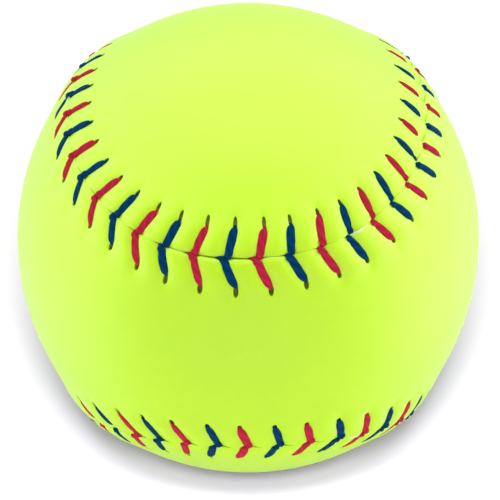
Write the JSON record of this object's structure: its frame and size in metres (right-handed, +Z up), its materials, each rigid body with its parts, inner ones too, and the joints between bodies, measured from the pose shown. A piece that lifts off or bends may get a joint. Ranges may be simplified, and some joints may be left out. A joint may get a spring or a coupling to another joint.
{
  "type": "softball",
  "caption": "Round leather-covered softball with a wound core, a two-piece cover and a raised seam sewn in two thread colours.",
  "frame": {"origin": "centre of the ball", "axes": "+Z up through the middle of one lobe of the back panel; -Y forward through the middle of the front panel's waist; +X through the middle of one lobe of the front panel"},
  "size_m": [0.0956, 0.0956, 0.0956],
  "materials": {
    "core": "matt, pressed kapok fibre",
    "coarse_yarn": "matt, wound coarse yarn",
    "fine_yarn": "matt, wound fine yarn",
    "rubber_coat": "satin, brushed-on rubber cement",
    "cover_leather": "semi-gloss, coated full-grain leather, optic yellow",
    "red_thread": "waxed twisted thread, crimson",
    "navy_thread": "waxed twisted thread, navy"
  },
  "bodies": {
    "root": {"core": "core", "inner_winding": "coarse_yarn", "outer_winding": "fine_yarn", "rubber_coat": "rubber_coat", "front_panel": "cover_leather", "back_panel": "cover_leather", "red_thread": "red_thread", "navy_thread": "navy_thread"}
  },
  "joints": []
}
